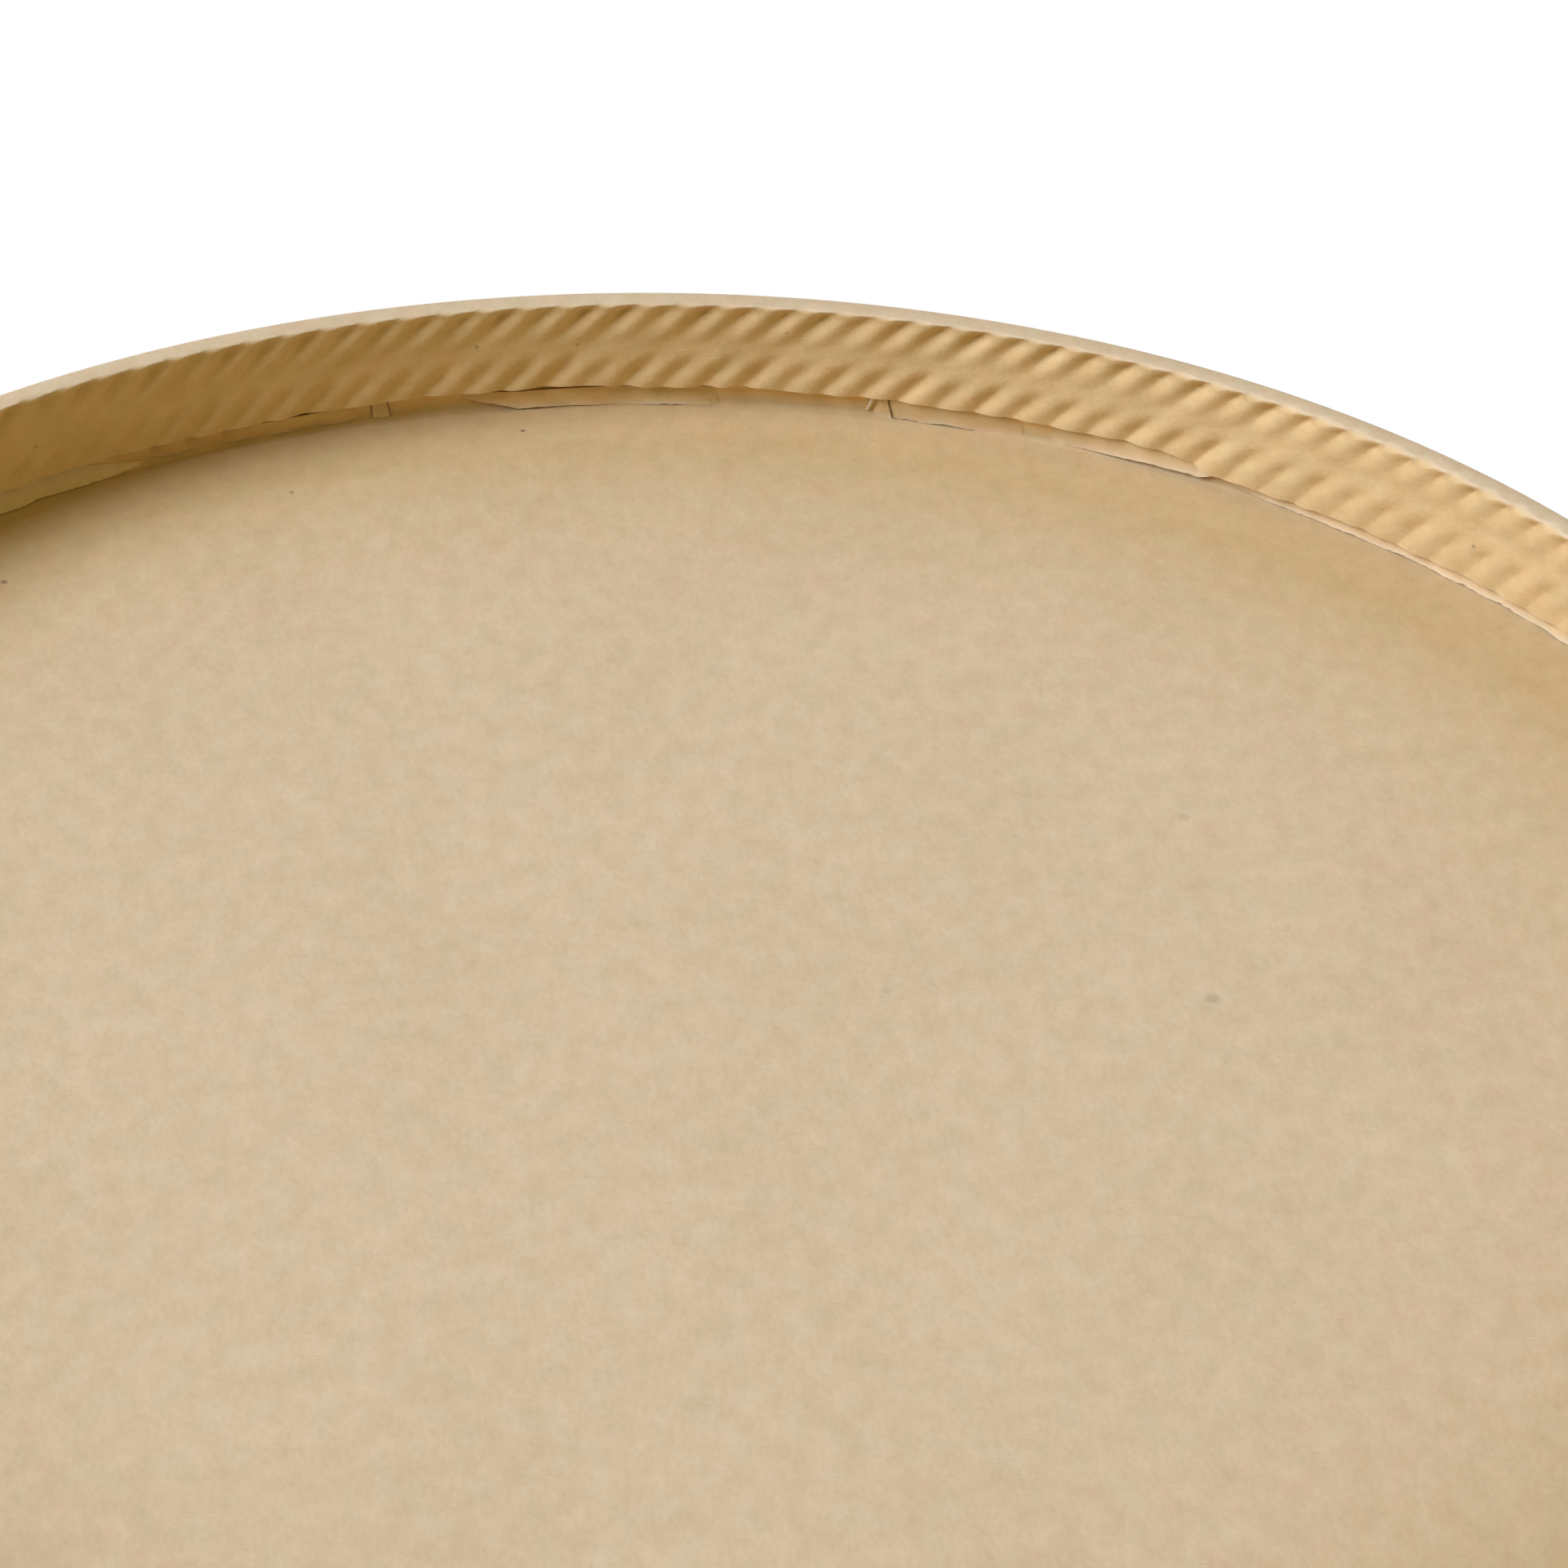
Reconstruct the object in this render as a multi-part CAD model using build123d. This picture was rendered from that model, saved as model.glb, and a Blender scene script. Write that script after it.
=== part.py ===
from build123d import *
import os
from math import acos, atan2, cos, degrees, hypot, pi, radians, tan

# Paper bowl, standing on its foot: z = 0 is the table, +Z points out of the open mouth.
# One fan-shaped board blank is rolled into the side wall, and a round blank, drawn down at its
# edge, is the base. The wall's lower edge is folded in over the base's skirt and knurled.
# All sizes are in millimetres.

# Outside of the bowl
rim_diameter = 150.0
foot_diameter = 128.0
bowl_height = 60.0

# Side wall board, and the overlap of its glued seam
wall_board = 0.42
seam_lap = 9.0
seam_ramp = 5.0
seam_angle = 101.0
seam_margin = 0.35

# Rolled rim: the board curls outwards and tightens, so that its raw edge is tucked inside
rim_roll = 4.0
rim_flat = 45.0
rim_flats = 5
rim_tuck_flats = 4
rim_tuck_gap = 0.13

# Base: a flat disc set up inside the foot, with a skirt that the wall's flap holds
base_board = 0.40
base_recess = 7.75
base_corner = 0.9
glue_gap = 0.02
skirt_clearance = 0.3

# Folded foot: the flap stands up inside the skirt and leaves a strip of it bare below the disc
bare_strip = 1.65
fold_round = 0.5

# Knurl rolled into the flap: leaning ridges, pressed deepest at both edges and fading at the waist
knurl_pitch = 2.33
knurl_relief = 0.45
knurl_web = 0.17
knurl_margin = 0.1
knurl_start = 0.3
knurl_runout = 0.4
knurl_lean = 41.0
groove_width = 1.35

# Values that follow from the sizes above
foot_radius = foot_diameter / 2
rim_radius = rim_diameter / 2
roll_radius = rim_roll / 2
roll_center = Vector(rim_radius - roll_radius, bowl_height - roll_radius)
roll_reach = hypot(roll_center.X - foot_radius, roll_center.Y)
roll_rise = atan2(roll_center.Y, roll_center.X - foot_radius)
flare = acos((roll_radius - wall_board) / roll_reach) - roll_rise
flare_degrees = degrees(flare)
slope = tan(flare)
flat_loss = (roll_radius - wall_board) * (1 - cos(radians(rim_flat / 2)))
flats_past_wall = round(360 / rim_flat) - rim_flats
rim_tighten = (wall_board + flat_loss + rim_tuck_gap) * rim_tuck_flats / flats_past_wall

# Widths of the foot's plies, measured level, from the outside inwards
wall_ply = wall_board / cos(flare)
skirt_ply = base_board / cos(flare)
pocket = skirt_ply + 2 * glue_gap
flap_back = wall_ply + pocket
foot_width = flap_back + knurl_web + knurl_relief + knurl_margin

# Heights in the foot
flap_height = base_recess - bare_strip
waist_height = (knurl_start + flap_height) / 2


def beside_wall(inset, z):
    """Point at height z, level inwards of the wall's outer face by inset."""
    return Vector(foot_radius - inset + z * slope, z)


def rolled_face(radius):
    """One face of the rolled board: a spiral in short flats that leaves the wall and tightens."""
    points = [roll_center + Vector(radius, 0).rotate(Axis.Z, 180 - flare_degrees)]
    for step in range(1, rim_flats + rim_tuck_flats + 1):
        tucked = max(0, step - rim_flats) / rim_tuck_flats
        reach = radius - rim_tighten * tucked
        points.append(roll_center + Vector(reach, 0).rotate(Axis.Z, 180 - rim_flat * step))
    return Polyline(*points)


def rounded(before, corner, after, size):
    """Corner between two straight runs, rounded by two flats that start size away from it."""
    start = corner + (before - corner).normalized() * size
    end = corner + (after - corner).normalized() * size
    return Polyline(start, (start + corner * 2 + end) / 4, end)


def side_wall_profile():
    """Section of the board from the flap's raw edge, round the fold and up to the rolled rim."""
    roll_outside = rolled_face(roll_radius)
    roll_inside = rolled_face(roll_radius - wall_board)
    outer_heel = beside_wall(0, 0)
    inner_heel = beside_wall(foot_width, 0)
    flap_edge = beside_wall(foot_width, flap_height)
    fold = rounded(roll_inside @ 0, outer_heel, inner_heel, fold_round)
    flap_and_pocket = Polyline(
        fold @ 1,
        inner_heel,
        flap_edge,
        beside_wall(flap_back, flap_height),
        beside_wall(flap_back, wall_board),
        beside_wall(wall_ply, wall_board),
        roll_outside @ 0,
    )
    outer_face = Line(roll_inside @ 0, fold @ 0)
    raw_rim_edge = Line(roll_inside @ 1, roll_outside @ 1)
    return make_face(Curve() + [roll_inside, outer_face, fold, flap_and_pocket, roll_outside, raw_rim_edge])


def groove_points(z, width, depth):
    """Left edge, bottom and right edge of every groove where the knurl reaches height z."""
    top_radius = foot_radius - foot_width + knurl_margin + z * slope
    count = round(2 * pi * (foot_radius - foot_width) / knurl_pitch)
    half_width = degrees(width / 2 / top_radius)
    lean = -degrees(z * tan(radians(knurl_lean)) / foot_radius)
    grooves = []
    for groove in range(count):
        middle = groove * 360 / count + lean
        left = Vector(top_radius, 0, z).rotate(Axis.Z, middle - half_width)
        bottom = Vector(top_radius + depth, 0, z).rotate(Axis.Z, middle)
        right = Vector(top_radius, 0, z).rotate(Axis.Z, middle + half_width)
        grooves.append((left, bottom, right))
    return grooves


def flat(*corners):
    """Flat face through corners in one plane."""
    return Face(Wire.make_polygon(corners))


def knurl_band(end_height):
    """Flats of one band: V-shaped grooves that are full at one end and run out at the waist."""
    ends = groove_points(end_height, groove_width, knurl_relief)
    tips = [bottom for left, bottom, right in groove_points(waist_height, 0, 0)]
    flats = [flat(*[point for groove in ends for point in groove])]
    for index, (left, bottom, right) in enumerate(ends):
        tip = tips[index]
        last_right = ends[index - 1][2]
        last_tip = tips[index - 1]
        flats += [flat(left, bottom, tip), flat(bottom, right, tip)]
        flats += [flat(last_right, left, tip), flat(last_right, tip, last_tip)]
    return flats


def knurl_core():
    """Core that leaves the leaning ridges when it is cut out of the flap."""
    flats = knurl_band(knurl_start) + knurl_band(flap_height + knurl_runout)
    return Solid(Shell(flats))


def seam_outline(z):
    """Outer ply of the lap at height z: a ramp off the wall, the lap and its raw edge."""
    wall_radius = foot_radius + z * slope
    root = wall_radius - wall_ply / 2
    lap_radius = wall_radius + wall_ply
    lap_turn = degrees(seam_lap / foot_radius)
    ramp_turn = -degrees(seam_ramp / foot_radius)
    ramp_foot = Vector(root, 0).rotate(Axis.Z, ramp_turn)
    ramp_top = Vector(lap_radius, 0)
    lap = CenterArc((0, 0), lap_radius, 0, lap_turn)
    lap_root = CenterArc((0, 0), root, ramp_turn, lap_turn - ramp_turn)
    outline = [Line(ramp_foot, ramp_top), lap, Line(lap @ 1, lap_root @ 1), lap_root]
    return Pos(0, 0, z) * make_face(Curve() + outline)


def make_side_wall():
    wall = revolve(Plane.XZ * side_wall_profile(), Axis.Z)
    seam_low = fold_round + seam_margin
    seam_high = bowl_height - rim_roll - seam_margin
    seam = loft([seam_outline(seam_low), seam_outline(seam_high)], ruled=True)
    wall += Rot(0, 0, seam_angle) * seam
    return wall - knurl_core()


def make_base_disc():
    skirt_low = wall_board + skirt_clearance
    skirt_face = wall_ply + glue_gap
    skirt_back = skirt_face + skirt_ply
    disc_top = base_recess + base_board
    outer_edge = beside_wall(skirt_face, skirt_low)
    bend = rounded(outer_edge, beside_wall(skirt_face, disc_top), Vector(0, disc_top), base_corner)
    outline = Polyline(
        bend @ 1,
        (0, disc_top),
        (0, base_recess),
        beside_wall(skirt_back, base_recess),
        beside_wall(skirt_back, skirt_low),
        outer_edge,
        bend @ 0,
    )
    return revolve(Plane.XZ * make_face(Curve() + [bend, outline]), Axis.Z)


os.makedirs("parts", exist_ok=True)
pieces = {"side_wall": make_side_wall(), "base_disc": make_base_disc()}
for name, piece in pieces.items():
    export_step(piece, f"parts/{name}.step")
    print(name, round(piece.volume), "cubic mm,", len(piece.faces()), "faces")
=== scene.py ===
from math import acos, atan2, cos, hypot, pi, radians, sin, tan

import bpy
import numpy as np
from mathutils import Matrix, Vector


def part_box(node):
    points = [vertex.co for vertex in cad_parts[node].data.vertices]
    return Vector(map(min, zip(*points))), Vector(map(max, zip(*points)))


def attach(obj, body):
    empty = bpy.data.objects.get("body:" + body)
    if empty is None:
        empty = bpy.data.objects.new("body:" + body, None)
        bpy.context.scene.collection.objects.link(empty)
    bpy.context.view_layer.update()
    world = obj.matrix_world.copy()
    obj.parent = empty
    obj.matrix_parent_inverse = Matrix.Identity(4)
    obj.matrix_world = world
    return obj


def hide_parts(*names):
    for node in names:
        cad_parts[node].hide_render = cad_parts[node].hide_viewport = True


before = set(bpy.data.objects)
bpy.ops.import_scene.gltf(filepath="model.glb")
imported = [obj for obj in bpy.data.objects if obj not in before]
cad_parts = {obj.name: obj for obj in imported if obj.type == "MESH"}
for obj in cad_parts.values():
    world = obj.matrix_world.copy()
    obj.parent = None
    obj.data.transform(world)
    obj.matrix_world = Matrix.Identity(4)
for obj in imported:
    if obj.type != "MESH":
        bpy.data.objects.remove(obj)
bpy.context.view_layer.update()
mm = 0.001

# main sizes in mm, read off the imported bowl
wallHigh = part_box("side_wall")[1]
discLow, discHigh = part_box("base_disc")
rimRadius = wallHigh.x / mm
bowlHeight = wallHigh.z / mm
discTop = discHigh.z / mm
skirtLow = discLow.z / mm
print("frame: rim", round(rimRadius, 2), "height", round(bowlHeight, 2), "base top", round(discTop, 2))

foot = {  # what wall and base share, in mm
    "radius": 64.0,      # outside of the foot, at the table
    "wallBoard": 0.42,
    "baseBoard": 0.40,
    "glueGap": 0.02,
    "rimRoll": 4.0,      # diameter of the rolled rim
}

# flare of the wall: its outer face leaves the foot and touches the inside of the roll
rollRadius = foot["rimRoll"] / 2
rollAcross = rimRadius - rollRadius
rollUp = bowlHeight - rollRadius
rollSide = rollAcross - foot["radius"]
flare = acos((rollRadius - foot["wallBoard"]) / hypot(rollSide, rollUp)) - atan2(rollUp, rollSide)
slope = tan(flare)
wallPly = foot["wallBoard"] / cos(flare)
skirtPly = foot["baseBoard"] / cos(flare)
skirtFace = wallPly + foot["glueGap"] + skirtPly     # inset of the skirt's inner face
flapBack = skirtFace + foot["glueGap"]               # inset of the flap's glued face
discUnder = discTop - foot["baseBoard"]


# radius at height z of a face that lies inset mm inside the wall's outer face
def besideWall(inset, z):
    return foot["radius"] - inset + z * slope


# smooth step: 0 below low, 1 above high, an S between them
def smoothStep(low, high, value):
    share = np.clip((value - low) / (high - low), 0, 1)
    return share * share * (3 - 2 * share)


# sum of cosines with whole numbers of waves round the ring, so that it closes; about -1 to 1
def waviness(angle, fewest, most, seed, terms=20):
    random = np.random.default_rng(seed)
    waves = random.integers(fewest, most + 1, terms)
    start = random.uniform(0, 2 * pi, terms)
    return np.cos(np.multiply.outer(angle, waves) + start).sum(-1) / terms ** 0.5


# quads between neighbouring rows of a grid of vertex numbers, closed round the ring if asked
def gridFaces(numbers, closed=True):
    if closed:
        numbers = np.concatenate([numbers, numbers[:, :1]], axis=1)
    corners = [numbers[:-1, :-1], numbers[:-1, 1:], numbers[1:, 1:], numbers[1:, :-1]]
    return np.stack(corners, axis=-1).reshape(-1, 4)


# points at radius, height and angle, all arrays of one shape
def polar(radius, height, angle):
    return np.stack([radius * np.cos(angle), radius * np.sin(angle), height], axis=-1).reshape(-1, 3)


# a mesh object from points in mm, faces and named values at the points
def makePiece(name, points, faces, values, material, sharpAngle):
    mesh = bpy.data.meshes.new(name)
    mesh.from_pydata((points * mm).tolist(), [], [face.tolist() for group in faces for face in group])
    for key, column in values.items():
        layer = mesh.attributes.new(key, "FLOAT", "POINT")
        layer.data.foreach_set("value", np.ascontiguousarray(column, np.float32))
    mesh.shade_smooth()
    mesh.set_sharp_from_angle(angle=radians(sharpAngle))
    mesh.materials.append(material)
    piece = bpy.data.objects.new(name, mesh)
    bpy.context.scene.collection.objects.link(piece)
    triangles = sum(len(group) * (group.shape[1] - 2) for group in faces)
    print("piece:", name, len(points), "points", triangles, "triangles")
    return piece


# Kraft paper

kraft = {  # lengths in mm, strengths as shares of the paper's colour
    "cloudSize": 9.0,
    "blotchSize": 1.3,
    "fineSize": 0.35,
    "tintSize": 1.6,
    "cloudShare": 0.4,
    "blotchShare": 1.2,
    "fineShare": 0.6,
    "stretch": 1.5,         # blots are longer along Y
    "blotTurn": 8.0,
    "fibreLength": 1.3,
    "fibreWidth": 0.12,
    "fibreTurns": (20.0, -38.0, 75.0),
    "paleFibre": (0.70, 0.80),   # where the noise turns into a pale fibre
    "darkFibre": (0.30, 0.20),   # and into a dark one
    "darkShare": 0.7,
    "fibreRise": 0.5,
    "tintRange": (0.35, 0.65),
    "darkest": (0.90, 0.875, 0.83),
    "lightest": (1.07, 1.085, 1.11),
    "pinker": (1.018, 0.992, 0.985),
    "greener": (0.985, 1.008, 1.005),
    "speckRag": 0.2,             # size of the noise that frays a speck
    "speckCore": 0.3,            # share of its radius that is fully dark
}


# a node with its settings
def addNode(tree, kind, **settings):
    node = tree.nodes.new(kind)
    for key, value in settings.items():
        setattr(node, key, value)
    return node


# first and second, numbers or sockets, joined by one operation
def addMath(tree, operation, first, second):
    node = addNode(tree, "ShaderNodeMath", operation=operation)
    for socket, value in zip(node.inputs, (first, second)):
        if isinstance(value, bpy.types.NodeSocket):
            tree.links.new(value, socket)
        else:
            socket.default_value = value
    return node.outputs[0]


# noise in mm: size is the width of a blot along each axis, turned about Z
def addNoise(tree, place, size, turn=0.0, detail=2.0):
    mapping = addNode(tree, "ShaderNodeMapping", vector_type="POINT")
    mapping.inputs["Rotation"].default_value = (0, 0, radians(turn))
    mapping.inputs["Scale"].default_value = [1 / (mm * length) for length in size]
    noise = addNode(tree, "ShaderNodeTexNoise")
    noise.inputs["Scale"].default_value = 1.0
    noise.inputs["Detail"].default_value = detail
    tree.links.new(place, mapping.inputs["Vector"])
    tree.links.new(mapping.outputs["Vector"], noise.inputs["Vector"])
    return noise.outputs["Fac"]


# an S from bottom to top while value runs from low to high
def addRange(tree, value, low, high, bottom=0.0, top=1.0):
    node = addNode(tree, "ShaderNodeMapRange", interpolation_type="SMOOTHSTEP")
    for key, number in (("From Min", low), ("From Max", high), ("To Min", bottom), ("To Max", top)):
        node.inputs[key].default_value = number
    tree.links.new(value, node.inputs["Value"])
    return node.outputs["Result"]


# first blended into second by share
def addMix(tree, share, first, second, blend="MIX"):
    node = addNode(tree, "ShaderNodeMix", data_type="RGBA", blend_type=blend)
    for socket, value in zip((node.inputs[0], node.inputs[6], node.inputs[7]), (share, first, second)):
        if isinstance(value, bpy.types.NodeSocket):
            tree.links.new(value, socket)
        elif isinstance(value, tuple):
            socket.default_value = (*value, 1)
        else:
            socket.default_value = value
    return node.outputs[2]


# clouds, blotches and fibres of the pulp; puts out the paper's colour and the height of its grain
def makeKraftGrain():
    tree = bpy.data.node_groups.new("kraftGrain", "ShaderNodeTree")
    for name, kind in (("Place", "Vector"), ("Paper", "Color"), ("Mottle", "Float"), ("Fibre", "Float")):
        tree.interface.new_socket(name=name, in_out="INPUT", socket_type="NodeSocket" + kind)
    for name, kind in (("Color", "Color"), ("Height", "Float")):
        tree.interface.new_socket(name=name, in_out="OUTPUT", socket_type="NodeSocket" + kind)
    given = addNode(tree, "NodeGroupInput")
    result = addNode(tree, "NodeGroupOutput")
    place = given.outputs["Place"]
    blots = {}
    for key in ("cloud", "blotch", "fine", "tint"):
        size = kraft[key + "Size"]
        blots[key] = addNoise(tree, place, [size, size * kraft["stretch"], size], kraft["blotTurn"])
    fibres = 0.0
    fibreSize = [kraft["fibreLength"], kraft["fibreWidth"], kraft["fibreWidth"]]
    for turn in kraft["fibreTurns"]:
        streak = addNoise(tree, place, fibreSize, turn, detail=1.0)
        pale = addRange(tree, streak, *kraft["paleFibre"])
        dark = addRange(tree, streak, *kraft["darkFibre"], 0.0, kraft["darkShare"])
        fibres = addMath(tree, "SUBTRACT", addMath(tree, "ADD", fibres, pale), dark)
    pulp = 0.0
    for key in ("cloud", "blotch", "fine"):
        swing = addMath(tree, "SUBTRACT", blots[key], 0.5)
        pulp = addMath(tree, "ADD", pulp, addMath(tree, "MULTIPLY", swing, kraft[key + "Share"]))
    tone = addMath(tree, "ADD", addMath(tree, "MULTIPLY", pulp, given.outputs["Mottle"]), 0.5)
    tone = addMath(tree, "ADD", tone, addMath(tree, "MULTIPLY", fibres, given.outputs["Fibre"]))
    dark = addMix(tree, 1.0, given.outputs["Paper"], kraft["darkest"], "MULTIPLY")
    light = addMix(tree, 1.0, given.outputs["Paper"], kraft["lightest"], "MULTIPLY")
    greenish = addRange(tree, blots["tint"], *kraft["tintRange"])
    hue = addMix(tree, greenish, kraft["pinker"], kraft["greener"])
    color = addMix(tree, 1.0, addMix(tree, tone, dark, light), hue, "MULTIPLY")
    tree.links.new(color, result.inputs["Color"])
    grain = addMath(tree, "ADD", addMath(tree, "MULTIPLY", fibres, kraft["fibreRise"]), blots["fine"])
    tree.links.new(addMath(tree, "ADD", grain, blots["blotch"]), result.inputs["Height"])
    return tree


kraftGrain = makeKraftGrain()


# kraft board: pale outside, browner where pressed, its own tone where torn, smoother on the
# lined side; painted shade in its creases, gaps and under the base near the skirt, painted light on the
# skirt
def makeKraftBoard(name, finish):
    material = bpy.data.materials.new(name)
    material.use_nodes = True
    tree = material.node_tree
    shader = tree.nodes["Principled BSDF"]
    place = addNode(tree, "ShaderNodeTexCoord").outputs["Object"]
    marks = {key: addNode(tree, "ShaderNodeAttribute", attribute_name=key).outputs["Fac"]
             for key in ("pressed", "bare", "lined", "cut")}
    # browner where pressed, plus painted shade in the knurl's creases and under the base near the skirt
    paper = addMix(tree, marks["pressed"], finish["paper"], finish["pressedPaper"])
    # own tone where torn, and painted light on the base's skirt
    paper = addMix(tree, marks["bare"], paper, finish["barePaper"])
    grain = addNode(tree, "ShaderNodeGroup", node_tree=kraftGrain)
    grain.inputs["Mottle"].default_value = finish["mottle"]
    grain.inputs["Fibre"].default_value = finish["fibre"]
    tree.links.new(place, grain.inputs["Place"])
    tree.links.new(paper, grain.inputs["Paper"])
    color = grain.outputs["Color"]
    # painted shade: dark brown mixed in, in the knurl's creases and the gaps at some plies' ends
    color = addMix(tree, marks["cut"], color, finish["cutPaper"])
    ragged = addMath(tree, "ADD", addNoise(tree, place, [kraft["speckRag"]] * 3), 0.5)
    for *spot, size, strength in finish["specks"]:
        reach = addNode(tree, "ShaderNodeVectorMath", operation="DISTANCE")
        reach.inputs[1].default_value = [length * mm for length in spot]
        tree.links.new(place, reach.inputs[0])
        edge = addMath(tree, "MULTIPLY", reach.outputs["Value"], ragged)
        mark = addRange(tree, edge, size * mm, size * mm * kraft["speckCore"], 0.0, strength)
        color = addMix(tree, mark, color, finish["speckPaper"])
    tree.links.new(color, shader.inputs["Base Color"])
    for key, paperLevel, linedLevel in (("Roughness", "roughness", "linedRoughness"),
                                        ("Specular IOR Level", "gloss", "linedGloss")):
        level = addRange(tree, marks["lined"], 0, 1, finish[paperLevel], finish[linedLevel])
        tree.links.new(level, shader.inputs[key])
    bump = addNode(tree, "ShaderNodeBump")
    bump.inputs["Strength"].default_value = finish["grain"]
    bump.inputs["Distance"].default_value = finish["grainHeight"] * mm
    tree.links.new(grain.outputs["Height"], bump.inputs["Height"])
    tree.links.new(bump.outputs["Normal"], shader.inputs["Normal"])
    return material


boardFinish = {
    "paper": (0.640, 0.510, 0.340),
    "pressedPaper": (0.645, 0.453, 0.202),
    "barePaper": (0.700, 0.559, 0.368),
    "speckPaper": (0.10, 0.075, 0.05),
    # painted shade colour for the creases and gaps
    "cutPaper": (0.20, 0.12, 0.05),
    "mottle": 1.0,
    "fibre": 0.4,
    "roughness": 0.82,
    "linedRoughness": 0.42,
    "gloss": 0.1,
    "linedGloss": 0.35,
    "grain": 0.6,
    "grainHeight": 0.03,
    "specks": (),
}


flapFace = 1.45     # mm, mean inset of the knurled face


# point on the knurled flap, in degrees from +Y and mm above the table
def onFlap(along, z):
    radius = besideWall(flapFace, z)
    return radius * cos(radians(90 + along)), radius * sin(radians(90 + along)), z


wallFinish = dict(
    boardFinish,
    fibre=0.7,
    grain=0.8,
    specks=(  # place and radius in mm, strength
        (*onFlap(-10.7, 2.75), 0.22, 0.5),
        (*onFlap(-5.2, 3.0), 0.18, 0.5),
        (*onFlap(6.1, 1.8), 0.16, 0.5),
        (*onFlap(46.4, 4.3), 0.20, 0.6),
        (*onFlap(-35.7, 3.6), 0.20, 0.4),
    ),
)
wallBoard = makeKraftBoard("wallBoard", wallFinish)
discFinish = dict(
    boardFinish,
    # painted shade colour of the underside near the skirt
    pressedPaper=(0.520, 0.374, 0.182),
    # painted light: the skirt's pale colour, lighter than the board, to brighten the strip the flap shades
    barePaper=(0.820, 0.563, 0.250),
    fibre=0.25,
    specks=(
        (8.96, 60.66, discUnder, 0.20, 0.75),
        (22.26, 53.34, discUnder, 0.20, 0.6),
        (37.99, 43.15, discUnder, 0.30, 0.6),
        (-28.2, 4.54, discUnder, 0.60, 0.25),
        (-11.34, 4.93, discUnder, 0.45, 0.15),
        (-27.83, 20.98, discUnder, 0.45, 0.15),
    ),
)
discBoard = makeKraftBoard("discBoard", discFinish)
print("materials: wallBoard, discBoard")


# Side wall: one closed section of the board carried round the ring

wall = {  # mm and degrees
    "ridges": 168,
    "flapInset": 1.54,      # crests of the knurl, inside the wall's outer face
    "flapHeight": 6.1,
    "relief": 0.68,         # depth of the creases
    "ripple": 0.04,         # slow unevenness of the pressed face
    "creaseShade": 0.12,     # share of painted shade in the creases' bottoms
    "pillow": 1.9,          # power of the ridges' rounding
    "uneven": 0.18,         # how much the creases differ in depth
    "lean": 39.5,
    "ridgeStart": -0.21,    # first crease, in ridges
    "drift": 0.22,          # the ridges drift this far, in ridges, about driftAngle
    "driftAngle": 97.5,
    "driftWidth": 20.0,
    "waist": 3.05,          # height where the upper band of ridges gives way to the lower one
    "waistDip": 0.13,
    "waistWidth": 0.8,
    "lowerFull": 5.1,       # the lower ridges are full from this height on
    "lowerShare": 0.42,     # their relief, as a share of the upper ones'
    "upperFade": 1.2,       # power of the upper ridges' fading towards the waist
    "upperBlunt": (0.08, 0.5),   # bluntness at the foot's edge, and how much it grows to the waist
    "lowerBlunt": (0.6, 0.42),   # bluntness at the waist, and how much it falls to the raw edge
    "sidestep": 0.17,       # shift of the lower band, in ridges
    "creaseTop": (0.06, 0.72),  # the creases start at the foot's edge and are full from there on
    "lipSharp": 0.15,       # rounding of the foot's inner edge over the creases
    "lipRound": 0.32,       # and over the crests
    "lipShares": (0.2, 0.44, 0.64),  # shares of the pitch where that rounding is reached, left and gone
    "foldRound": 0.30,
    "edgeWave": 0.07,
    "edgeRise": 0.7,        # the raw edge stands higher along a stretch, in degrees from +Y
    "edgeRiseAt": (27.5, 31.0, 58.0, 72.0),
    "edgeEase": 0.35,       # the creases turn shallower at the raw edge
    "edgeReach": 1.3,       # over this height
    "softEase": 0.48,       # the ridges are pressed less along a stretch
    "softAt": (17.0, 36.0, 95.0, 120.0),
    "softEdgeEase": 0.45,   # and at the raw edge they turn shallower by this share
    "softLower": 0.3,       # but the lower band stands out more by this share
    "softLip": 0.9,         # and the foot's inner edge is rounder there by this share
    "tuckStart": -45.0,     # where the rolled rim starts to tighten
    "tuckEnd": -225.0,
    "tighten": 0.89,
    "seamAngle": 101.0,
    "seamLap": 9.0,
    "seamRamp": 5.0,
    "lapEdge": 0.0004,      # half the width of the lap's raw edge, in radians
    "settle": 0.05,         # slow unevenness of the wall
    "backRows": 7,          # rows of the section up the flap's glued face
    "seed": 5,
}
# columns of one ridge, as shares of the pitch, close together at the crease
ridgeColumns = np.array([0, 0.035, 0.12, 0.24, 0.38, 0.52, 0.66, 0.79, 0.90, 0.965])
coarseStep = 5
pitch = 2 * pi / wall["ridges"]


# 0 in the upper band of ridges, 1 in the lower one
def asideShare(z):
    return smoothStep(wall["waist"] - 0.5, wall["waist"] + 0.5, z)


# turn of the grid at height z: it leans with the creases and steps aside at the waist
def knurlTurn(z):
    lean = z * tan(radians(wall["lean"])) / foot["radius"]
    return (wall["ridgeStart"] - asideShare(z) * wall["sidestep"]) * pitch - lean


# a slow slip of the ridges along the ring: one bell curve
def ridgeDrift(angle):
    away = (angle - radians(wall["driftAngle"])) / radians(wall["driftWidth"])
    return wall["drift"] * pitch * np.exp(-away ** 2)


# rounded ridges between creases: 1 at a crease, 0 on the crest; blunt rounds the crease's bottom
def creaseDepth(share, blunt):
    away = 1 - np.abs(2 * (share % 1) - 1)
    away = (np.hypot(away, blunt) - blunt) / (np.hypot(1, blunt) - blunt)
    return (1 - away) ** wall["pillow"]


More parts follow.
